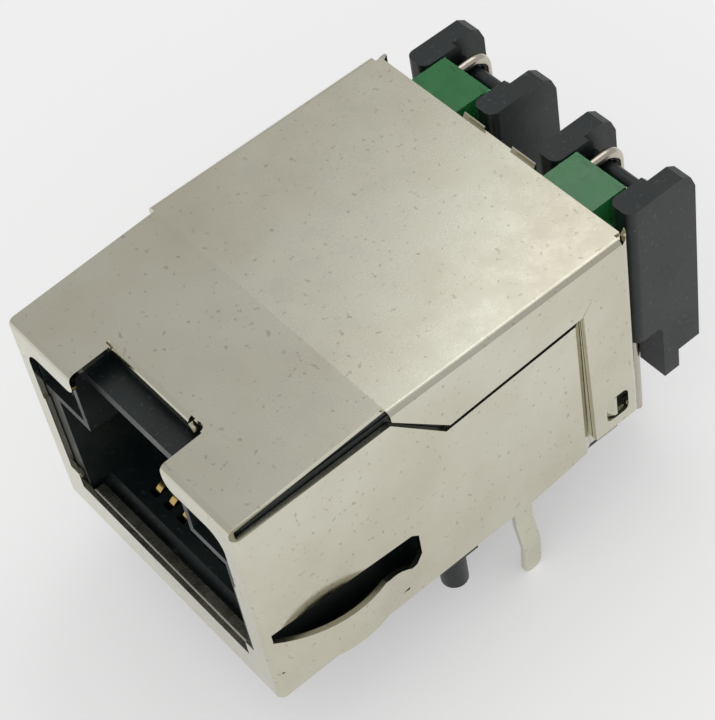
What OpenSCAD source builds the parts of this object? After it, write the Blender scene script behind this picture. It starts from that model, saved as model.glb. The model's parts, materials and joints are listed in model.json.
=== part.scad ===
// Shielded modular jack for a circuit board, with built-in magnetics and two rear LEDs.
// Millimetres. X runs across the port, Y from the port towards the rear, Z up from the board.
// The origin lies on the board, midway between the two locating posts.

/* [Shield] */
// Width over the side panels
shield_w = 15.9; // [15.5:0.1:17]
// Height of the top panel above the board
shield_top = 13.1; // [12.9:0.05:14.2]
// How far the free front part of the top panel has dropped at the front edge
front_drop = 0.5; // [0.3:0.05:0.6]
// Thickness of the folded sheet
sheet = 0.25; // [0.2:0.01:0.3]
// Outer radius of the folds
fold_r = 0.35; // [0.34:0.01:0.5]
// Gap between the side panels' lower edge and the board
shield_gap = 0.5; // [0.3:0.05:0.8]
// Width of the seam between the top panel's flaps and the side panels
seam = 0.42; // [0.3:0.02:0.6]
// Length of the open stretch of the top panel's side edges
open_edge = 7.9; // [7:0.1:9]
// Height of the flaps' lower edge above the board, at its front end
flap_low = 9.95; // [9.7:0.05:10.2]
// How far the flaps stand proud of the side panels
flap_out = 0.2; // [0.1:0.05:0.25]
// How far the flaps' lower edge rises towards the rear
flap_rise = 0.4; // [0.2:0.05:0.5]
// Depth of the rear cover's side flaps
rear_flap_d = 2.8; // [2.6:0.05:3]

/* [Port] */
// Width of the plug cavity
port_w = 11.9; // [11.7:0.05:12.2]
// Height of the plug cavity
port_h = 6.25; // [6.1:0.05:6.3]
// Height of the cavity floor above the board
floor_z = 2.1; // [2:0.05:2.15]
// Depth of the plug cavity
port_d = 11.6; // [11.3:0.1:12.4]
// Width of the latch notch
notch_w = 6.35; // [6:0.05:6.6]
// Depth of the latch notch in the top panel
notch_d = 2.2; // [1.9:0.05:2.6]
// Depth of the flange folded down behind the notch
flange_h = 0.65; // [0.5:0.05:0.8]
// Depth of the bar across the notch below the shield's top
bar_drop = 1.45; // [1.4:0.05:1.6]

/* [LED windows] */
// Distance of the windows' inner edge from the middle
window_in = 3.9; // [3.7:0.05:4.2]
// Distance of the windows' outer edge from the middle
window_out = 6.9; // [6.6:0.05:7.0]
// Height of the light windows
window_h = 2.5; // [2.3:0.05:2.55]
// Depth of the light windows' upper edge below the shield's top
window_drop = 1.8; // [1.75:0.05:1.9]

/* [Side springs] */
// Length of each grounding spring
spring_len = 6.9; // [6.3:0.1:7]
// Height of the spring's bow beyond the side panel
spring_bow = 0.95; // [0.6:0.05:1.2]
// Height of the spring at its front foot
spring_h = 2.25; // [2:0.05:2.5]
// Height of the spring at its narrow rear foot
spring_tail_h = 1.0; // [0.8:0.05:1.2]

/* [Ground tabs] */
// Width of the ground tabs
tab_w = 1.0; // [0.9:0.02:1.3]
// Distance from the front face to the middle of the tabs
tab_y = 13.82; // [13.4:0.02:14.6]
// Length of the tabs below the board
tab_len = 3.9; // [3.2:0.1:4]
// How far the tabs are kinked outwards
tab_kink = 0.35; // [0.2:0.05:0.6]

/* [Locating posts] */
// Diameter of the posts
post_dia = 1.3; // [1.2:0.05:1.6]
// Distance between the two posts
post_pitch = 13.6; // [13:0.05:13.65]
// Distance from the front face to the posts
post_y = 10.4; // [9.8:0.1:11.4]
// Length of the posts below the board
post_len = 2.5; // [2:0.1:3]

/* [Rear LEDs] */
// Distance between the two LEDs
led_pitch = 8.6; // [8.5:0.02:8.7]
// Width of an LED
led_w = 3.0; // [2.8:0.05:3.05]
// Height of an LED
led_h = 3.2; // [3:0.05:3.3]
// Depth of an LED's body
led_d = 2.2; // [2:0.05:2.4]
// Distance between the leads of an LED
lead_pitch = 2.0; // [1.6:0.05:2.2]
// Diameter of the leads
lead_dia = 0.5; // [0.4:0.02:0.55]
// Length of the leads below the board
lead_len = 2.9; // [2.6:0.1:3.6]

/* [LED holders] */
// How far the holders stand out behind the rear cover
holder_reach = 4.5; // [4.4:0.05:5]
// Thickness of the holders' cheeks
cheek_t = 0.98; // [0.8:0.02:1.05]
// Clear width between the cheeks
cheek_gap = 3.84; // [3.8:0.02:3.9]
// Extra thickness of the cheeks beside the LED
cheek_pad = 0.32; // [0.2:0.01:0.34]
// Depth of the cheeks' top below the shield's top
cheek_drop = 0.3; // [0.15:0.05:0.55]
// Depth of the crossbars' top below the shield's top
crossbar_drop = 1.4; // [1.36:0.02:1.54]

/* [Contacts] */
// Number of contacts
contact_count = 8; // [4:2:8]
// Distance between neighbouring contacts
contact_pitch = 1.02; // [1:0.01:1.04]
// Width and thickness of the contact wire
contact_t = 0.35; // [0.3:0.01:0.4]
// Rise of the free contact ends towards the rear
contact_angle = 13; // [10:1:14]

/* [Magnetics] */
// Depth of the bay behind the plug cavity
bay_d = 8.05; // [8:0.05:10]
// Outer diameter of the ferrite rings
toroid_dia = 2.5; // [2.2:0.05:2.6]
// Bore of the ferrite rings
toroid_bore = 1.1; // [0.9:0.05:1.3]
// Height of the ferrite rings
toroid_h = 1.2; // [1:0.05:1.5]
// Thickness of the copper winding
winding_t = 0.18; // [0.12:0.01:0.2]
// Thickness of the small circuit board
board_t = 0.8; // [0.6:0.05:1]

/* [Signal pins] */
// Number of pins, in two staggered rows
pin_count = 8; // [4:2:8]
// Distance between neighbouring pins across the jack
pin_pitch = 1.27; // [1.2:0.01:1.3]
// Distance between the two rows
row_pitch = 2.54; // [2.3:0.02:2.6]
// Width of the square pins
pin_t = 0.48; // [0.4:0.02:0.52]
// Length of the pins below the board
pin_len = 3.0; // [2.6:0.1:3.6]

/* [Fits] */
// Clearance between pieces that sit in each other
slip = 0.05; // [0.03:0.01:0.08]

/* [Hidden] */
$fn = 64;

nickel = [0.74, 0.73, 0.66];
black = [0.09, 0.11, 0.11];
clear = [0.82, 0.88, 0.88, 0.5];
green = [0.15, 0.7, 0.25, 0.7];
tin = [0.8, 0.79, 0.74];
gold = [0.83, 0.67, 0.3];
copper = [0.72, 0.35, 0.16];
ferrite = [0.18, 0.17, 0.17];
laminate = [0.1, 0.35, 0.2];

far = 40;
wall = 0.8;
bay_y = port_d + wall;
body_rear = bay_y + bay_d;
back_in = body_rear + 0.3;
shield_d = back_in + sheet;
rear_flap_y = shield_d - rear_flap_d;
holder_d = shield_d + holder_reach;
half_w = shield_w / 2;
inner_r = fold_r - sheet;
shield_low = shield_gap;
top_in = shield_top - sheet;
bar_top = shield_top - bar_drop;
window_high = shield_top - window_drop;
window_low = window_high - window_h;
cheek_top = shield_top - cheek_drop;
crossbar_top = shield_top - crossbar_drop;

// The housing keeps a slip clear of the shield's inner faces.
body_half = half_w - sheet - slip;
body_front = sheet + slip;
body_top = top_in - slip;
body_low = shield_low;
port_top = floor_z + port_h;
lip_depth = 0.8;
sill_y = lip_depth + 0.6;
bay_half = window_out + 0.05;
bay_top = port_top;
bay_rear = body_rear;
rib_w = post_dia + 0.5;

side_top = shield_top - 1.0;
front_lean = atan(front_drop / open_edge);
step_z = port_top + 0.05;
seam_y = open_edge + 2.6;
flap_rear_y = rear_flap_y - 0.25;
flap_end_y = back_in - 0.35;
joggle_y = rear_flap_y - 0.5;
joggle_in = sheet + 0.02;

spring_y = fold_r + 0.05;
spring_end = spring_y + spring_len;
spring_low = 2.35;
spring_tail_low = 1.4;
spring_gap = 0.18;
spring_tail_r = 2.5;
spring_top = spring_low + spring_h;

led_x = led_pitch / 2;
led_top = top_in - 0.07;
led_low = led_top - led_h;
led_rear = shield_d + 1.85;
led_front = led_rear - led_d;
lens_len = 1.1;
lead_z = led_top - 0.75;
cheek_front = shield_d + 0.7;
crossbar_y = led_rear + 0.7;
crossbar_t = 0.85;
lead_bend = (crossbar_t + lead_dia) / 2 + 0.06;
lead_y = crossbar_y + crossbar_t / 2 + lead_bend;
short_bend = 0.35;
short_y = led_rear + short_bend;
cheek_r = 0.45;
shelf_t = 0.85;
shelf_front = led_front - lens_len;
neck_z = 4.4;
foot_z = 2.0;
foot_y = crossbar_y - 0.25;
foot_low = 0.85;

pipe_front = 0.75;
pipe_rear = led_front - lens_len - slip;

channel_low = 0.95;
channel_w = contact_t + 0.2;
contact_z = channel_low + 0.1;
contact_front = sill_y + 1.4;
contact_bend = 0.45;
contact_reach = 7.6;
comb_y = bay_y + slip;
comb_wall = 0.25;
comb_skin = 0.1;
comb_lift = 0.5;
tail_y = comb_y + comb_wall + contact_t / 2;
comb_rear = tail_y + contact_t / 2 + comb_skin;

tray_front = comb_rear + slip;
tray_rear = bay_rear - 0.1;
tray_half = bay_half - slip;
tray_low = 0.7;
tray_floor = 1.6;
tray_wall = 0.45;
foot_pad = 1.2;
board_z = tray_floor + toroid_h + 2 * winding_t + 1.2;
board_half = tray_half;
board_front = comb_y;
row_1_y = tray_front + tray_wall + pin_t / 2 + 0.05;
toroid_pitch = toroid_dia + 2 * winding_t + 0.35;
toroid_y = tray_rear - tray_wall - slip - toroid_dia / 2 - winding_t;
chip_l = 1.6;
chip_w = 0.8;
chip_t = 0.45;
cap_l = 4.5;
cap_w = 2.0;
cap_t = 1.6;

// Height of the top panel's upper face: its front part slopes down to the front edge.
function panel_top(y) = shield_top - max(0, open_edge - y) * tan(front_lean);
function flap_low_at(y) = flap_low + flap_rise * (y - seam_y) / (flap_rear_y - seam_y);
function contact_x(n) = (n - (contact_count + 1) / 2) * contact_pitch;
function pin_x(n) = (n - (pin_count + 1) / 2) * pin_pitch;
function pin_y(n) = row_1_y + (n % 2 == 0 ? row_pitch : 0);
function toroid_x(n) = (n - 2.5) * toroid_pitch;

// Everything is drawn from the front face back, then moved so that the posts straddle the origin.
module placed() {
    translate([0, -post_y, 0]) children();
}

// A block between two corners.
module span(low, high) {
    translate(low) cube(high - low);
}

// An outline drawn in Y and Z, drawn out across X from x0 to x1.
module across(x0, x1) {
    translate([x0, 0, 0]) rotate([90, 0, 90]) linear_extrude(x1 - x0) children();
}

// An outline drawn in X and Z, drawn out along Y from y0 to y1.
module along(y0, y1) {
    translate([0, y1, 0]) rotate([90, 0, 0]) linear_extrude(y1 - y0) children();
}

module both_sides() {
    children();
    mirror([1, 0, 0]) children();
}

// A rectangle whose far pair of corners is rounded.
module rounded_end(x0, x1, y0, y1, r) {
    translate([x0, y0]) square([x1 - x0, y1 - y0 - r]);
    translate([x0 + r, y0]) square([x1 - x0 - 2 * r, y1 - y0]);
    translate([x0 + r, y1 - r]) circle(r);
    translate([x1 - r, y1 - r]) circle(r);
}

// A rectangle with all four corners rounded.
module rounded_box(x0, x1, y0, y1, r) {
    translate([x0 + r, y0]) square([x1 - x0 - 2 * r, y1 - y0]);
    translate([x0, y0 + r]) square([x1 - x0, y1 - y0 - 2 * r]);
    for (x = [x0 + r, x1 - r], y = [y0 + r, y1 - r]) {
        translate([x, y]) circle(r);
    }
}

// A straight stretch of strip or wire in an outline.
module stretch(from, to, width) {
    run = to - from;
    translate(from) rotate(atan2(run[1], run[0])) translate([0, -width / 2]) square([norm(run), width]);
}

// Part of a ring, from angle a0 to a1, at most 180 degrees.
module arc(centre, radius, width, a0, a1) {
    reach = 4 * (radius + width);
    mid = (a0 + a1) / 2;
    translate(centre) intersection() {
        difference() {
            circle(radius + width / 2);
            circle(radius - width / 2);
        }
        polygon([
            [0, 0], reach * [cos(a0), sin(a0)], reach * [cos(mid), sin(mid)], reach * [cos(a1), sin(a1)]
        ]);
    }
}

// ---- Front shield: one blank folded into a front, a top and two side panels ----

// The block's outline seen from the side: a sloping front part, rounded over into the front face.
module folded_profile(inset, r, rear) {
    low = shield_low - far;
    top = shield_top - inset;
    centre_y = inset + r;
    centre_z = panel_top(centre_y) - (inset + r) / cos(front_lean);
    translate([centre_y, centre_z]) circle(r);
    polygon([
        [inset, low], [rear, low], [rear, top], [open_edge + inset * tan(front_lean / 2), top],
        [centre_y - r * sin(front_lean), centre_z + r * cos(front_lean)], [centre_y, centre_z], [inset, centre_z]
    ]);
}

// A folded block, open to the rear. Its side edges are square in the sloping part and rounded behind it.
module folded_block(inset, r, rear, proud) {
    w = half_w + proud - inset;
    top = shield_top - inset;
    intersection() {
        union() {
            along(inset, open_edge) translate([-w, shield_low - far]) square([2 * w, far + top - shield_low]);
            along(open_edge, rear) rounded_end(-w, w, shield_low - far, top, r);
        }
        across(-w, w) folded_profile(inset, r, rear);
        translate([0, 0, shield_low - far]) linear_extrude(2 * far) mirror([0, 1]) {
            rounded_end(-w, w, -rear - inset, -inset, r);
        }
    }
}

// The blank folded up, with its sides standing proud of the side panels' faces by the given amount.
module folded_sheet(proud) {
    difference() {
        folded_block(0, fold_r, back_in - 0.05, proud);
        folded_block(sheet, inner_r, far, proud);
    }
}

// Where the sheet stands proud: the top panel behind the open edge, and its flaps down to the seam.
module flap_zone() {
    polygon([
        [open_edge, far], [open_edge, flap_low + seam_y - open_edge - seam / 2], [seam_y, flap_low - seam / 2],
        [flap_rear_y, flap_low_at(flap_rear_y) - seam / 2], [far, flap_low_at(flap_rear_y) - seam / 2], [far, far]
    ]);
}

module front_opening() {
    translate([-port_w / 2 - 0.2, floor_z + 0.05]) square([port_w + 0.4, port_h]);
    translate([-window_out + 0.15, floor_z + 1]) square([2 * window_out - 0.3, step_z - floor_z - 1 + 0.01]);
    rounded_end(-window_out, window_out, step_z - 0.4, window_high + 0.05, 1.0);
    translate([-notch_w / 2, step_z]) square([notch_w, far]);
    both_sides() notch_corner();
}

// The rounded lower corner where the strip above a window meets the notch.
module notch_corner() {
    r = 0.6;
    translate([notch_w / 2, window_high + 0.05]) difference() {
        translate([-0.01, -0.01]) square(r);
        translate([r, r]) circle(r);
    }
}

// The side panel, seen from the side, with its rear joggle left out.
module side_panel_outline() {
    polygon([
        [0, shield_low], [tab_y - tab_w / 2 - 0.4, shield_low + 0.1], [tab_y + tab_w / 2, shield_low + 0.1],
        [tab_y + tab_w / 2 + 1.1, shield_low + 0.2], [joggle_y, shield_low + 0.5],
        [joggle_y, flap_low_at(joggle_y) - seam - 0.1], [seam_y, flap_low - seam - 0.1],
        [seam_y - (side_top - flap_low + seam), side_top + 0.1], [0, side_top]
    ]);
}

// The flap folded down from the top panel.
module flap_outline() {
    rear_low = flap_low_at(flap_rear_y);
    polygon([
        [seam_y + 0.1, flap_low], [flap_rear_y, rear_low],
        [flap_end_y, min(shield_top, rear_low + flap_end_y - flap_rear_y)], [flap_end_y, far],
        [open_edge, far], [open_edge, flap_low + (seam_y + 0.1 - open_edge)]
    ]);
}

// The wedge that stays open between the side panel and the sloping part of the top panel.
module open_edge_slot() {
    drop = sheet / cos(front_lean);
    polygon([
        [-1, side_top], [open_edge, side_top + 0.1], [open_edge, shield_top - drop], [-1, panel_top(-1) - drop]
    ]);
}

// What is open between the side panel, the flap and the rear cover's flap.
module side_openings() {
    difference() {
        translate([-1, shield_low - far]) square([far, 2 * far]);
        side_panel_outline();
        flap_outline();
    }
}

function spring_low_at(y) = spring_low + (spring_tail_low - spring_low) * (y - spring_y) / spring_len;
spring_knee = spring_y + 0.8 * spring_len;
spring_knee_z = spring_top - 0.85;

// The spring, seen from the side. It bows out in one arc and runs back into the panel in a smaller one.
module spring_outline() {
    polygon([
        [spring_y - 0.1, spring_low], [spring_end + 0.4, spring_tail_low - 0.05],
        [spring_end + 0.4, spring_tail_low + spring_tail_h], [spring_end, spring_tail_low + spring_tail_h + 0.3],
        [spring_knee, spring_knee_z], [spring_y - 0.1, spring_top]
    ]);
}

// The window that the spring is cut free in.
module spring_window() {
    polygon([
        [spring_y, spring_low_at(spring_y) - spring_gap], [spring_end, spring_low_at(spring_end) - spring_gap],
        [spring_end, spring_tail_low + spring_tail_h], [spring_end + 0.6, spring_tail_low + spring_tail_h + 0.1],
        [spring_end + 0.95, spring_tail_low + spring_tail_h + 0.6], [spring_end + 0.95, spring_top - 0.3],
        [spring_end + 0.6, spring_top], [spring_y, spring_top + 0.55]
    ]);
}

module spring() {
    length = spring_len + 0.3;
    middle = half_w - sheet / 2;
    rise = length / 2 - spring_tail_r * spring_bow / length;
    radius = (rise * rise + spring_bow * spring_bow) / (2 * spring_bow);
    lean = asin(rise / radius);
    turn = asin((length - rise) / (radius + spring_tail_r));
    intersection() {
        translate([0, 0, shield_low]) linear_extrude(shield_top) {
            arc([middle + spring_bow - radius, spring_y + rise], radius, sheet, -lean - 0.6, turn);
            arc([middle + spring_tail_r, spring_y + length], spring_tail_r, sheet, 180, 180 + turn);
            translate([half_w - sheet, spring_y + length - 0.01]) square([sheet, 0.3]);
        }
        across(half_w - far, half_w + far) spring_outline();
    }
}

tab_crease = -0.25;

// A ground tab, kinked outwards below the board and drawn in again at its round tip.
module ground_tab() {
    knee = -0.45 * tab_len;
    intersection() {
        along(tab_y - tab_w / 2, tab_y + tab_w / 2) for (x = [half_w - sheet]) {
            polygon([
                [x, shield_low + 0.3], [x + sheet, shield_low + 0.3], [x + sheet, tab_crease],
                [x + sheet + tab_kink, knee], [x + sheet + tab_kink / 2, -tab_len],
                [x + tab_kink / 2, -tab_len], [x + tab_kink, knee], [x, tab_crease]
            ]);
        }
        across(0, far) mirror([0, 1]) {
            rounded_end(tab_y - tab_w / 2, tab_y + tab_w / 2, -far, tab_len, tab_w / 2 - 0.02);
        }
    }
}

// Behind the joggle, the side panel runs on inside the rear cover's flap and holds its latch.
latch_low = 1.95;
latch_high = 3.35;
latch_y = rear_flap_y + 0.85;
latch_tip = latch_y + 0.65;
latch_end = latch_y + 1.3;

module joggled_tongue() {
    x = half_w;
    in = joggle_in;
    tongue_end = back_in - 0.25;
    tongue_top = flap_low_at(joggle_y) - seam - 0.1;
    difference() {
        translate([0, 0, shield_low + 0.55]) linear_extrude(tongue_top - shield_low - 0.55) polygon([
            [x - sheet, joggle_y - 0.3], [x, joggle_y - 0.3], [x, joggle_y], [x - in, joggle_y + 0.45],
            [x - in, tongue_end], [x - in - sheet, tongue_end], [x - in - sheet, joggle_y + 0.4],
            [x - sheet, joggle_y - 0.05]
        ]);
        span([x - 2, latch_tip, latch_low + 0.1], [x + 1, latch_end, latch_high - 0.1]);
    }
    translate([0, 0, latch_low + 0.1]) linear_extrude(latch_high - latch_low - 0.2) polygon([
        [x - in - 0.1, latch_y + 0.15], [x - in, latch_y + 0.15], [x - 0.04, latch_tip - 0.12],
        [x - 0.04, latch_tip], [x - sheet - 0.04, latch_tip], [x - in - 0.1, latch_y + 0.3]
    ]);
}

module front_shield() {
    color(nickel) placed() {
        difference() {
            union() {
                difference() {
                    folded_sheet(0);
                    across(-far, far) flap_zone();
                }
                intersection() {
                    folded_sheet(flap_out);
                    across(-far, far) flap_zone();
                }
            }
            span([-far, -far, -far], [far, far, shield_low]);
            along(-1, fold_r + 0.01) front_opening();
            span([-notch_w / 2, -1, top_in - 1], [notch_w / 2, notch_d, far]);
            span([-notch_w / 2 - 0.3, notch_d, top_in - 1], [notch_w / 2 - 0.6, notch_d + sheet, far]);
            translate([notch_w / 2 - 0.4, notch_d, top_in - 1]) cylinder(h = 3, r = 0.3);
            both_sides() {
                across(half_w - sheet - 0.05, far) side_openings();
                across(half_w - sheet - 0.05, far) open_edge_slot();
                across(half_w - sheet - 0.05, far) spring_window();
            }
        }
        flange();
        port_lip();
        both_sides() {
            spring();
            ground_tab();
            joggled_tongue();
        }
    }
}

// The flange folded down behind the latch notch, with a slanting right end.
module flange() {
    left = -notch_w / 2 - 0.3;
    right = notch_w / 2 - 0.7;
    top = panel_top(notch_d + fold_r);
    across(left, right - 0.3) {
        arc([notch_d + fold_r, top - fold_r], fold_r - sheet / 2, sheet, 90 + front_lean, 180);
    }
    along(notch_d, notch_d + sheet) polygon([
        [left, top - fold_r], [right - 0.3, top - fold_r], [right, top - flange_h], [left, top - flange_h]
    ]);
}

// The lip folded in over the front edge of the cavity floor.
module port_lip() {
    half = port_w / 2 - 0.3;
    z = floor_z + 0.05;
    across(-half, half) {
        arc([fold_r, z - fold_r], fold_r - sheet / 2, sheet, 90, 180);
        translate([fold_r - 0.01, z - sheet]) square([lip_depth - fold_r, sheet]);
    }
    span([-half, 0, z - fold_r - 0.1], [half, sheet, z - fold_r + 0.01]);
}

// ---- Rear shield: a back wall with a flap on each side ----

module rear_flap_side() {
    top = shield_top - 0.15;
    low = shield_low + 0.85;
    polygon([
        [rear_flap_y + 0.15, low], [shield_d + 1, low], [shield_d + 1, shield_top],
        [shield_d, shield_top], [shield_d - 0.1, top], [rear_flap_y, top - (rear_flap_d - 0.1) * 1.06]
    ]);
}

module rear_shield() {
    w = half_w;
    color(nickel) placed() difference() {
        intersection() {
            linear_extrude(shield_top) difference() {
                rounded_end(-w, w, rear_flap_y, shield_d, fold_r);
                rounded_end(-w + sheet, w - sheet, rear_flap_y - far, back_in, inner_r);
            }
            across(-far, far) rear_flap_side();
        }
        both_sides() {
            span([led_x - cheek_gap / 2 - 0.1, back_in - 1, led_low - shelf_t - 0.15],
                 [led_x + cheek_gap / 2 + 0.1, far, far]);
            across(half_w - sheet - 0.1, far) rounded_box(latch_y, latch_end, latch_low, latch_high, 0.3);
            span([led_x + cheek_gap / 2 - 0.2, back_in - 1, top_in - 0.4], [half_w - fold_r, far, far]);
        }
        span([-0.95, back_in - 1, top_in], [0.8, far, far]);
    }
}

// ---- Housing: the moulded body with the plug cavity, light channels and magnetics bay ----

module keyway() {
    half = notch_w / 2 + 0.4;
    across(-half, half) polygon([
        [-1, port_top - 0.1], [port_d - 1.2, port_top - 0.1], [port_d - 1.2, port_top + 1.4],
        [1.2, bar_top - 0.8], [1.0, bar_top - 0.6], [1.0, far], [-1, far]
    ]);
    span([-half, 0.9, bar_top], [half, notch_d + sheet + 0.15, far]);
}

module floor_front() {
    across(-port_w / 2, port_w / 2) polygon([
        [-1, floor_z - sheet - 0.1], [sill_y - 0.4, floor_z - sheet - 0.1], [sill_y, floor_z],
        [sill_y, floor_z + 0.3], [-1, floor_z + 0.3]
    ]);
}

// What the sloping top panel takes off the housing's roof, with the chamfer at its front edge.
module roof_slope() {
    drop = sheet / cos(front_lean) + slip;
    polygon([[-1, panel_top(-1) - drop], [open_edge + 0.3, body_top - 0.01], [open_edge + 0.3, far], [-1, far]]);
    translate([body_front, panel_top(body_front) - drop]) rotate(45) square(0.22, center = true);
}

module contact_channels() {
    for (n = [1 : contact_count]) {
        x = contact_x(n);
        span([x - channel_w / 2, contact_front - contact_bend - contact_t, channel_low],
             [x + channel_w / 2, bay_y + 1, floor_z + 0.1]);
    }
}

module light_channel() {
    span([window_in, -1, window_low], [window_out, bay_rear + 1, window_high]);
    span([led_x - led_w / 2 - slip, shelf_front - 0.1, led_low - slip],
         [led_x + led_w / 2 + slip, bay_rear + 1, body_top + 1]);
    span([led_x - cheek_gap / 2, shelf_front - slip, led_low - shelf_t - slip],
         [led_x + cheek_gap / 2, bay_rear + 1, led_low]);
}

module housing() {
    color(black) placed() {
        difference() {
            span([-body_half, body_front, body_low], [body_half, body_rear, body_top]);
            span([-port_w / 2, -1, floor_z], [port_w / 2, port_d, port_top]);
            keyway();
            floor_front();
            across(-far, far) roof_slope();
            contact_channels();
            both_sides() {
                light_channel();
                span([half_w - sheet - joggle_in - slip, joggle_y - 0.3, -1], [far, far, flap_low_at(joggle_y)]);
                span([port_w / 2 + 0.75, spring_y, spring_tail_low - 0.4], [far, spring_end + 1, spring_top + 0.7]);
                span([half_w - fold_r, body_front - 1, body_low - 1], [far, body_front + 0.3, far]);
                span([half_w - fold_r, -1, body_top - 0.3], [far, far, far]);
            }
            span([-bay_half, bay_y, -1], [bay_half, far, bay_top]);
        }
        both_sides() {
            translate([post_pitch / 2, post_y, -post_len + 0.2]) {
                cylinder(h = post_len + body_low, r = post_dia / 2);
            }
            translate([post_pitch / 2, post_y, -post_len]) cylinder(h = 0.2, r1 = post_dia / 2 - 0.2, r2 = post_dia / 2);
            span([-0.01, post_y - rib_w / 2, 0], [(post_pitch + rib_w) / 2, post_y + rib_w / 2, body_low + 0.1]);
            for (y = [3, body_rear - 2.2]) {
                span([bay_half + 0.05, y, 0], [body_half - 0.45, y + 2, body_low + 0.1]);
            }
        }
    }
}

// ---- Rear LEDs, their holders, leads and light pipes ----

module cheek_outline() {
    polygon([
        [cheek_front, neck_z], [cheek_front, cheek_top], [holder_d - 0.7, cheek_top],
        [holder_d - 0.25, cheek_top - 0.3], [holder_d, cheek_top - 0.95], [holder_d, foot_z],
        [foot_y + 0.9, foot_z], [foot_y + 0.9, foot_low], [foot_y, foot_low], [foot_y, neck_z - 0.3],
        [foot_y - 0.25, neck_z]
    ]);
}

module pad_outline() {
    polygon([
        [cheek_front, neck_z + 0.3], [cheek_front, cheek_top], [crossbar_y + 0.1, cheek_top],
        [crossbar_y + 0.35, cheek_top - 0.3], [crossbar_y + 0.35, neck_z + 0.3]
    ]);
}

// A cheek with its pad on the LED's side, rounded at the front.
module cheek() {
    inner = cheek_gap / 2;
    intersection() {
        union() {
            across(inner, inner + cheek_t) cheek_outline();
            across(inner - cheek_pad, inner + 0.01) pad_outline();
        }
        linear_extrude(far) mirror([0, 1]) {
            rounded_end(inner - cheek_pad, inner + cheek_t, -far, -cheek_front, cheek_r);
        }
    }
}

module led_holder(x) {
    half = cheek_gap / 2;
    color(black) placed() translate([x, 0, 0]) difference() {
        union() {
            both_sides() cheek();
            // The wall between the cheeks, which ends in the round crossbar.
            across(-half - 0.1, half + 0.1) {
                translate([crossbar_y, foot_low]) {
                    square([crossbar_t, crossbar_top - foot_low - crossbar_t / 2]);
                }
                translate([crossbar_y + crossbar_t / 2, crossbar_top - crossbar_t / 2]) circle(crossbar_t / 2);
                translate([foot_y, foot_low]) square([crossbar_y - foot_y + 0.1, neck_z - foot_low - 0.3]);
            }
            // The rib beside the long lead.
            span([-lead_pitch / 2 + lead_dia / 2 + 0.1, crossbar_y + crossbar_t - 0.1, foot_low],
                 [lead_pitch / 2 - lead_dia / 2 - 0.1, crossbar_y + crossbar_t + 0.3, crossbar_top - 1.5]);
            // The shelf that the LED stands on, which reaches into the housing.
            span([-half + slip, shelf_front, led_low - shelf_t], [half - slip, cheek_front + cheek_r, led_low - slip]);
            span([-half - 0.1, cheek_front + cheek_r - 0.01, led_low - shelf_t],
                 [half + 0.1, crossbar_y + 0.1, led_low - slip]);
        }
        // The hole that the short lead drops through.
        translate([lead_pitch / 2, short_y, -1]) cylinder(h = led_low + 1, r = lead_dia / 2 + slip);
    }
}

module led() {
    color(green) placed() translate([led_x, 0, 0]) {
        span([-led_w / 2, led_front, led_low], [led_w / 2, led_rear, led_top]);
        span([-led_w / 2 + 0.3, led_front - lens_len, led_low + 0.35],
             [led_w / 2 - 0.3, led_front + 0.1, led_top - 0.45]);
    }
}

// A lead leaves the LED's back, bends down at the given depth and runs to the board.
module led_lead(x, y, bend) {
    color(tin) placed() translate([x, 0, 0]) {
        if (y - bend > led_rear) {
            translate([0, led_rear, lead_z]) rotate([-90, 0, 0]) cylinder(h = y - bend - led_rear, r = lead_dia / 2);
        }
        translate([0, y - bend, lead_z - bend]) rotate([0, -90, 0]) {
            rotate_extrude(angle = 90) translate([bend, 0]) circle(lead_dia / 2);
        }
        translate([0, y, -lead_len]) cylinder(h = lead_z - bend + lead_len, r = lead_dia / 2);
    }
}

// One lead of each LED bends over the crossbar, and the other drops in front of it.
module long_lead(x) {
    led_lead(x - lead_pitch / 2, lead_y, lead_bend);
}

module short_lead(x) {
    led_lead(x + lead_pitch / 2, short_y, short_bend);
}

module light_pipe() {
    color(clear) placed() {
        span([window_in + slip, pipe_front, window_low + slip], [window_out - slip, pipe_rear, window_high - slip]);
    }
}

// ---- Contacts and their comb ----

module contact_outline() {
    low = [tail_y, contact_z + contact_t / 2 + 0.4];
    stretch([tail_y, board_z + board_t + 0.2], low, contact_t);
    arc(low + [-0.4, 0], 0.4, contact_t, -90, 0);
    stretch([tail_y - 0.4, contact_z + contact_t / 2], [contact_front, contact_z + contact_t / 2], contact_t);
    bend = [contact_front, contact_z + contact_t / 2 + contact_bend];
    arc(bend, contact_bend, contact_t, 180, 270);
    translate(bend) rotate(contact_angle) {
        arc([0, 0], contact_bend, contact_t, 90, 175);
        translate([0, contact_bend - contact_t / 2]) square([contact_reach, contact_t]);
    }
}

module contact(n) {
    if (n <= contact_count) {
        color(gold) placed() {
            across(contact_x(n) - contact_t / 2, contact_x(n) + contact_t / 2) contact_outline();
        }
    }
}

module contact_comb() {
    half = contact_pitch * contact_count / 2 + 0.3;
    color(black) placed() difference() {
        span([-half, comb_y, tray_floor + comb_lift], [half, comb_rear, board_z - slip]);
        for (n = [1 : contact_count]) {
            span([contact_x(n) - contact_t / 2 - slip, comb_y - 1, 0],
                 [contact_x(n) + contact_t / 2 + slip, tail_y + contact_t / 2 + slip, far]);
        }
    }
}

// ---- Magnetics: tray, ferrite rings, small board and its parts ----

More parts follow.
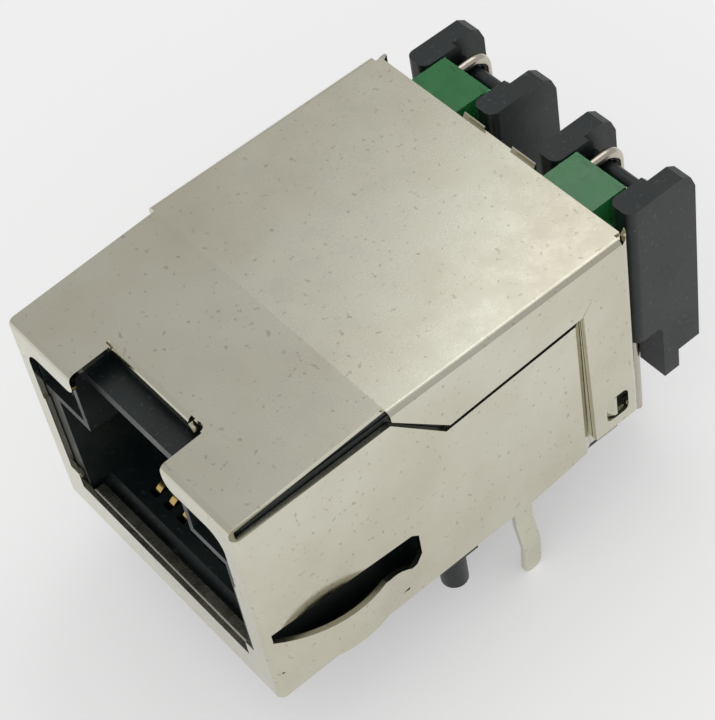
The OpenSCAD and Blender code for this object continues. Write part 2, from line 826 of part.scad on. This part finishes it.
module magnetics_tray() {
    color(black) placed() difference() {
        union() {
            span([-tray_half, tray_front, tray_low], [tray_half, tray_rear, board_z - slip]);
            for (x = [-tray_half, tray_half - foot_pad], y = [tray_front + 1, tray_rear - foot_pad]) {
                span([x, y, 0], [x + foot_pad, y + foot_pad, tray_low + 0.1]);
            }
        }
        span([-tray_half + tray_wall, tray_front + tray_wall, tray_floor],
             [tray_half - tray_wall, tray_rear - tray_wall, far]);
        for (n = [1 : pin_count]) {
            span([pin_x(n) - pin_t / 2 - slip, pin_y(n) - pin_t / 2 - slip, -1],
                 [pin_x(n) + pin_t / 2 + slip, pin_y(n) + pin_t / 2 + slip, far]);
        }
    }
}

module magnetics_board() {
    color(laminate) placed() difference() {
        span([-board_half, board_front, board_z], [board_half, tray_rear, board_z + board_t]);
        for (n = [1 : pin_count]) {
            translate([pin_x(n), pin_y(n), 0]) cylinder(h = far, r = pin_t * 0.75);
        }
        for (n = [1 : contact_count]) {
            translate([contact_x(n), tail_y, 0]) cylinder(h = far, r = contact_t * 0.8);
        }
    }
}

module toroid(n) {
    color(ferrite) placed() translate([toroid_x(n), toroid_y, tray_floor + winding_t + slip]) {
        difference() {
            cylinder(h = toroid_h, r = toroid_dia / 2);
            translate([0, 0, -1]) cylinder(h = toroid_h + 2, r = toroid_bore / 2);
        }
    }
}

// The winding covers most of the ring as one thin wound sleeve.
module winding(n) {
    turn = 300;
    t = winding_t;
    color(copper) placed() translate([toroid_x(n), toroid_y, tray_floor + slip]) {
        rotate([0, 0, 120]) rotate_extrude(angle = turn) difference() {
            translate([toroid_bore / 2 - t, 0]) square([(toroid_dia - toroid_bore) / 2 + 2 * t, toroid_h + 2 * t]);
            translate([toroid_bore / 2, t]) square([(toroid_dia - toroid_bore) / 2, toroid_h]);
        }
    }
}

module resistor(n) {
    x = (n - 2.5) * 2.6;
    color(ferrite) placed() translate([x, row_1_y + row_pitch / 2, board_z + board_t]) {
        translate([-chip_l / 2, -chip_w / 2, 0]) cube([chip_l, chip_w, chip_t]);
    }
}

module capacitor() {
    color([0.76, 0.66, 0.45]) placed() translate([0, tray_rear - 0.3 - cap_w / 2, board_z + board_t]) {
        translate([-cap_l / 2, -cap_w / 2, 0]) cube([cap_l, cap_w, cap_t]);
    }
}

module signal_pin(n) {
    if (n <= pin_count) {
        color(tin) placed() translate([pin_x(n), pin_y(n), 0]) {
            span([-pin_t / 2, -pin_t / 2, -pin_len + 0.3], [pin_t / 2, pin_t / 2, board_z + board_t + 0.3]);
            translate([0, 0, -pin_len]) cylinder(h = 0.31, r1 = pin_t / 4, r2 = pin_t / 2);
        }
    }
}

front_shield();
rear_shield();
housing();
led_holder(-led_x);  // led_holder_left
led_holder(led_x);  // led_holder_right
mirror([1, 0, 0]) led();  // led_left
led();  // led_right
long_lead(-led_x);  // led_lead_1
short_lead(-led_x);  // led_lead_2
long_lead(led_x);  // led_lead_3
short_lead(led_x);  // led_lead_4
mirror([1, 0, 0]) light_pipe();  // light_pipe_left
light_pipe();  // light_pipe_right
contact(1);  // contact_1
contact(2);  // contact_2
contact(3);  // contact_3
contact(4);  // contact_4
contact(5);  // contact_5
contact(6);  // contact_6
contact(7);  // contact_7
contact(8);  // contact_8
contact_comb();
magnetics_tray();
magnetics_board();
toroid(1);  // toroid_1
toroid(2);  // toroid_2
toroid(3);  // toroid_3
toroid(4);  // toroid_4
winding(1);  // winding_1
winding(2);  // winding_2
winding(3);  // winding_3
winding(4);  // winding_4
resistor(1);  // resistor_1
resistor(2);  // resistor_2
resistor(3);  // resistor_3
resistor(4);  // resistor_4
capacitor();
signal_pin(1);  // signal_pin_1
signal_pin(2);  // signal_pin_2
signal_pin(3);  // signal_pin_3
signal_pin(4);  // signal_pin_4
signal_pin(5);  // signal_pin_5
signal_pin(6);  // signal_pin_6
signal_pin(7);  // signal_pin_7
signal_pin(8);  // signal_pin_8
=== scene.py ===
"""Looks of a shielded network jack for a circuit board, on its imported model."""
import json

import bpy
from mathutils import Matrix, Vector


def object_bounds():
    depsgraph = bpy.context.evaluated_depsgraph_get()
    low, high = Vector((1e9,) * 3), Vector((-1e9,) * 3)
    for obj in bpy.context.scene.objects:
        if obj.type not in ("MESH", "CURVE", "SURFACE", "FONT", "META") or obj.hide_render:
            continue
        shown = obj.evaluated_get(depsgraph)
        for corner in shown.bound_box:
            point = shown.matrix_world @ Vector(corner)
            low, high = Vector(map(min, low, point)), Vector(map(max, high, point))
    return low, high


MM = 0.001

# Grain of the finishes, in waves per metre.
PLATE_CLOUDS = 120
PLATE_MOTTLE = 900
PLATE_FLECKS = 3800
PLATE_GRAIN = 9000
PLASTIC_CLOUDS = 350
PLASTIC_CRYSTALS = 4200
RESIN_SWIRLS = 700
RESIN_RIPPLES = 1500

# Height of the grain that a bump node lifts.
SHEET_RELIEF = 0.002 * MM
WIRE_RELIEF = 0.003 * MM
PLASTIC_RELIEF = 0.006 * MM
RESIN_RELIEF = 0.01 * MM

SIDE_ROUGHNESS = 0.13
TOP_ROUGHNESS = 0.27
PLASTIC_GLOSS = 0.45
RESIN_IOR = 1.52

FLOOR_WIDTH = 4
FLOOR_GAP = 0.02 * MM
FLOOR_GREY = 0.8
FLOOR_GLOW = 0.35
SKY_STRENGTH = 0.55

CAMERA_PLACE = Vector((54.916, -30.998, 82.357)) * MM
CAMERA_RIGHT = Vector((0.6332, 0.7626, -0.1323))
CAMERA_UP = Vector((-0.5421, 0.559, 0.6274))
CAMERA_BACK = Vector((0.5524, -0.3256, 0.7673))
SENSOR_WIDTH = 36
FOCAL_LENGTH = 113.03
NEAR_LIMIT = 5 * MM
FAR_LIMIT = 20

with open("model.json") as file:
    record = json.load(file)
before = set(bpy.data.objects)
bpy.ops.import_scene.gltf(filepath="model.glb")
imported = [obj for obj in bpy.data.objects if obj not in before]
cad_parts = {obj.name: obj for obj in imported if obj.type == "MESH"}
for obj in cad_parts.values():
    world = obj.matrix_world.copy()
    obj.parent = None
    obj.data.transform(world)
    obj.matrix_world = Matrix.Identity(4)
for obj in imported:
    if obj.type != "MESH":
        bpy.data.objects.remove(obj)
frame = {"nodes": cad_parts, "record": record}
cad_box = [list(corner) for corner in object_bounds()]
nodes = frame["nodes"]


# ---------------------------------------------------------------- node helpers
def new_material(name):
    material = bpy.data.materials.new(name)
    material.use_nodes = True
    tree = material.node_tree
    shader = tree.nodes["Principled BSDF"]
    return material, tree, shader


def add(tree, kind, inputs=None, **settings):
    node = tree.nodes.new(kind)
    for key, value in settings.items():
        setattr(node, key, value)
    for key, value in (inputs or {}).items():
        if hasattr(value, "is_output"):
            tree.links.new(value, node.inputs[key])
        else:
            node.inputs[key].default_value = value
    return node


def object_point(tree):
    return add(tree, "ShaderNodeTexCoord").outputs["Object"]


def noise(tree, point, scale, detail=3.0, rough=0.55):
    node = add(tree, "ShaderNodeTexNoise", {
        "Vector": point, "Scale": scale, "Detail": detail, "Roughness": rough})
    return node.outputs["Fac"]


def remap(tree, value, low, high, new_low=0.0, new_high=1.0):
    node = add(tree, "ShaderNodeMapRange", {
        "Value": value, "From Min": low, "From Max": high, "To Min": new_low, "To Max": new_high})
    return node.outputs["Result"]


def math_node(tree, operation, first, second):
    return add(tree, "ShaderNodeMath", {0: first, 1: second}, operation=operation).outputs[0]


def blend_colour(tree, factor, first, second, mode="MIX"):
    node = add(tree, "ShaderNodeMix", {"Factor": factor}, data_type="RGBA", blend_type=mode)
    for socket, value in ((node.inputs[6], first), (node.inputs[7], second)):
        if hasattr(value, "is_output"):
            tree.links.new(value, socket)
        else:
            socket.default_value = (*value, 1.0)
    return node.outputs[2]


def bump(tree, shader, height, distance, strength):
    node = add(tree, "ShaderNodeBump", {"Height": height, "Distance": distance, "Strength": strength})
    tree.links.new(node.outputs["Normal"], shader.inputs["Normal"])


def group(name, inputs, outputs):
    tree = bpy.data.node_groups.new(name, "ShaderNodeTree")
    for label, kind, value in inputs:
        socket = tree.interface.new_socket(label, in_out="INPUT", socket_type=kind)
        socket.default_value = value
    for label, kind in outputs:
        tree.interface.new_socket(label, in_out="OUTPUT", socket_type=kind)
    return tree, tree.nodes.new("NodeGroupInput"), tree.nodes.new("NodeGroupOutput")


def place_group(tree, made, **inputs):
    node = tree.nodes.new("ShaderNodeGroup")
    node.node_tree = made
    for key, value in inputs.items():
        if hasattr(value, "is_output"):
            tree.links.new(value, node.inputs[key])
        else:
            node.inputs[key].default_value = value
    return node.outputs


# ---------------------------------------------------------------- shared effects
def plating_group():
    """Mottled plate: slow tint, fine specks and dull patches."""
    tree, given, result = group(
        "plating",
        [("Light", "NodeSocketColor", (0.66, 0.64, 0.53, 1)),
         ("Dull", "NodeSocketColor", (0.5, 0.46, 0.36, 1)),
         ("Rough", "NodeSocketFloat", 0.2),
         ("Speck", "NodeSocketFloat", 0.5)],
        [("Color", "NodeSocketColor"), ("Roughness", "NodeSocketFloat"), ("Height", "NodeSocketFloat")])
    point = object_point(tree)
    cloud = remap(tree, noise(tree, point, PLATE_CLOUDS, 3), 0.38, 0.66)
    mottle = remap(tree, noise(tree, point, PLATE_MOTTLE, 4, 0.7), 0.35, 0.7)
    grain = noise(tree, point, PLATE_GRAIN, 3, 0.6)
    base = blend_colour(tree, cloud, given.outputs["Light"], given.outputs["Dull"])
    shade = math_node(tree, "MULTIPLY", mottle, 0.25)
    patch = blend_colour(tree, shade, base, (0.9, 0.88, 0.8), "MULTIPLY")
    fleck = remap(tree, noise(tree, point, PLATE_FLECKS, 2, 0.4), 0.66, 0.74)
    shown = math_node(tree, "MULTIPLY", fleck, given.outputs["Speck"])
    flecked = blend_colour(tree, shown, patch, (0.3, 0.26, 0.2))
    rough = math_node(tree, "ADD", given.outputs["Rough"], remap(tree, mottle, 0, 1, -0.03, 0.05))
    height = math_node(tree, "ADD", grain, math_node(tree, "MULTIPLY", mottle, 0.6))
    tree.links.new(flecked, result.inputs["Color"])
    tree.links.new(rough, result.inputs["Roughness"])
    tree.links.new(height, result.inputs["Height"])
    return tree


def moulding_group():
    """Fine moulded grain with pale dust specks."""
    tree, given, result = group(
        "moulded_grain",
        [("Dark", "NodeSocketColor", (0.012, 0.018, 0.018, 1)),
         ("Pale", "NodeSocketColor", (0.05, 0.065, 0.062, 1)),
         ("Rough", "NodeSocketFloat", 0.45),
         ("Dust", "NodeSocketFloat", 0.3)],
        [("Color", "NodeSocketColor"), ("Roughness", "NodeSocketFloat"), ("Height", "NodeSocketFloat")])
    point = object_point(tree)
    cloud = remap(tree, noise(tree, point, PLASTIC_CLOUDS, 4, 0.6), 0.4, 0.75)
    crystal = noise(tree, point, PLASTIC_CRYSTALS, 3, 0.65)
    sparkle = remap(tree, crystal, 0.6, 0.72)
    base = blend_colour(tree, cloud, given.outputs["Dark"], given.outputs["Pale"])
    shown = math_node(tree, "MULTIPLY", sparkle, given.outputs["Dust"])
    dusty = blend_colour(tree, shown, base, (0.2, 0.23, 0.22))
    rough = math_node(tree, "ADD", given.outputs["Rough"], remap(tree, cloud, 0, 1, -0.06, 0.1))
    tree.links.new(dusty, result.inputs["Color"])
    tree.links.new(rough, result.inputs["Roughness"])
    tree.links.new(crystal, result.inputs["Height"])
    return tree


plating = plating_group()
moulded_grain = moulding_group()


# ---------------------------------------------------------------- materials
def nickel_plate():
    """Satin on the flat top, smoother on the sides."""
    material, tree, shader = new_material("nickel_plate")
    shader.inputs["Metallic"].default_value = 1.0
    normal = add(tree, "ShaderNodeNewGeometry").outputs["True Normal"]
    facing = add(tree, "ShaderNodeSeparateXYZ", {0: normal})
    rough = remap(tree, facing.outputs["Z"], 0.6, 0.95, SIDE_ROUGHNESS, TOP_ROUGHNESS)
    made = place_group(
        tree, plating, Rough=rough, Light=(0.67, 0.655, 0.55, 1), Dull=(0.6, 0.57, 0.46, 1), Speck=0.45)
    tree.links.new(made["Color"], shader.inputs["Base Color"])
    tree.links.new(made["Roughness"], shader.inputs["Roughness"])
    bump(tree, shader, made["Height"], SHEET_RELIEF, 0.7)
    return material


def wire_plate(name, light, dull, rough):
    """Plated wire and strip, more flecked than the sheet."""
    material, tree, shader = new_material(name)
    shader.inputs["Metallic"].default_value = 1.0
    made = place_group(tree, plating, Rough=rough, Light=light, Dull=dull, Speck=0.6)
    tree.links.new(made["Color"], shader.inputs["Base Color"])
    tree.links.new(made["Roughness"], shader.inputs["Roughness"])
    bump(tree, shader, made["Height"], WIRE_RELIEF, 0.8)
    return material


def moulded_plastic(name, dark, pale, rough, dust):
    """Moulded, fired or laminated body with a fine grain."""
    material, tree, shader = new_material(name)
    made = place_group(tree, moulded_grain, Dark=dark, Pale=pale, Rough=rough, Dust=dust)
    tree.links.new(made["Color"], shader.inputs["Base Color"])
    tree.links.new(made["Roughness"], shader.inputs["Roughness"])
    shader.inputs["Specular IOR Level"].default_value = PLASTIC_GLOSS
    bump(tree, shader, made["Height"], PLASTIC_RELIEF, 0.8)
    return material


def cast_resin(name, colour, rough, clear):
    """Tinted see-through resin with faint swirls."""
    material, tree, shader = new_material(name)
    point = object_point(tree)
    swirl = remap(tree, noise(tree, point, RESIN_SWIRLS, 3, 0.6), 0.35, 0.7)
    tint = blend_colour(tree, swirl, colour, tuple(min(1.0, c * 1.25 + 0.03) for c in colour))
    tree.links.new(tint, shader.inputs["Base Color"])
    tree.links.new(remap(tree, swirl, 0, 1, rough * 0.6, rough * 1.6), shader.inputs["Roughness"])
    shader.inputs["Transmission Weight"].default_value = clear
    shader.inputs["IOR"].default_value = RESIN_IOR
    bump(tree, shader, noise(tree, point, RESIN_RIPPLES, 2), RESIN_RELIEF, 0.5)
    return material


finish = {
    "nickel_sheet": nickel_plate(),
    "black_moulding": moulded_plastic(
        "black_moulding", (0.008, 0.013, 0.013, 1), (0.016, 0.024, 0.023, 1), 0.42, 0.25),
    "green_led": cast_resin("green_led", (0.12, 0.85, 0.25), 0.12, 0.85),
    "clear_pipe": cast_resin("clear_pipe", (0.86, 0.92, 0.92), 0.08, 0.9),
    "tinned_wire": wire_plate("tinned_wire", (0.62, 0.58, 0.5, 1), (0.42, 0.37, 0.3, 1), 0.2),
    "gold_contact": wire_plate("gold_contact", (0.85, 0.6, 0.22, 1), (0.75, 0.5, 0.18, 1), 0.18),
    "black_insulator": moulded_plastic(
        "black_insulator", (0.012, 0.012, 0.013, 1), (0.03, 0.03, 0.032, 1), 0.5, 0.2),
    "board_laminate": moulded_plastic(
        "board_laminate", (0.02, 0.12, 0.05, 1), (0.03, 0.2, 0.08, 1), 0.3, 0.1),
    "ferrite": moulded_plastic("ferrite", (0.035, 0.033, 0.034, 1), (0.07, 0.066, 0.066, 1), 0.6, 0.2),
    "copper_wire": wire_plate("copper_wire", (0.72, 0.3, 0.12, 1), (0.55, 0.2, 0.08, 1), 0.3),
    "chip_resistor": moulded_plastic(
        "chip_resistor", (0.02, 0.02, 0.022, 1), (0.04, 0.04, 0.043, 1), 0.35, 0.1),
    "chip_capacitor": moulded_plastic(
        "chip_capacitor", (0.45, 0.31, 0.16, 1), (0.55, 0.4, 0.22, 1), 0.5, 0.05),
}

slot_of = {part["node"]: part["material_slot"] for part in frame["record"]["subparts"]}
for name, node in nodes.items():
    for index in range(len(node.data.materials)):
        node.data.materials[index] = finish[slot_of[name]]


# ---------------------------------------------------------------- stage
lowest = cad_box[0][2]
bpy.ops.object.select_all(action="DESELECT")
bpy.ops.mesh.primitive_plane_add(size=FLOOR_WIDTH, location=(0, 0, lowest - FLOOR_GAP))
floor = bpy.context.object
floor.name = "floor"
material, tree, shader = new_material("white_sheet")
shader.inputs["Base Color"].default_value = (FLOOR_GREY, FLOOR_GREY, FLOOR_GREY, 1)
shader.inputs["Roughness"].default_value = 1.0
shader.inputs["Specular IOR Level"].default_value = 0.0
rays = add(tree, "ShaderNodeLightPath").outputs
seen = math_node(tree, "MAXIMUM", rays["Is Camera Ray"], math_node(
    tree, "MAXIMUM", rays["Is Glossy Ray"], rays["Is Transmission Ray"]))
tree.links.new(math_node(tree, "MULTIPLY", seen, FLOOR_GLOW), shader.inputs["Emission Strength"])
shader.inputs["Emission Color"].default_value = (1, 1, 1, 1)
floor.data.materials.append(material)

world = bpy.data.worlds.new("studio")
bpy.context.scene.world = world
world.use_nodes = True
background = world.node_tree.nodes["Background"]
background.inputs["Color"].default_value = (1, 1, 1, 1)
background.inputs["Strength"].default_value = SKY_STRENGTH


def soft_box(name, place, aim, width, height, power):
    bpy.ops.object.light_add(type="AREA", location=[c * MM for c in place])
    lamp = bpy.context.object
    lamp.name = name
    lamp.data.shape = "RECTANGLE"
    lamp.data.size = width * MM
    lamp.data.size_y = height * MM
    lamp.data.energy = power
    direction = Vector(aim) - Vector(place)
    lamp.rotation_euler = direction.to_track_quat("-Z", "Y").to_euler()


soft_box("key", (-30, 70, 130), (0, 0, 6), 90, 60, 0.02)
soft_box("fill", (150, -140, 120), (0, 0, 5), 160, 120, 0.05)

# ---------------------------------------------------------------- camera
lens = bpy.data.cameras.new("camera")
camera = bpy.data.objects.new("camera", lens)
bpy.context.scene.collection.objects.link(camera)
turned = Matrix((CAMERA_RIGHT, CAMERA_UP, CAMERA_BACK)).transposed().to_4x4()
camera.matrix_world = Matrix.Translation(CAMERA_PLACE) @ turned
lens.sensor_width = SENSOR_WIDTH
lens.lens = FOCAL_LENGTH
lens.clip_start = NEAR_LIMIT
lens.clip_end = FAR_LIMIT
bpy.context.scene.camera = camera
bpy.context.scene.view_settings.view_transform = "Standard"
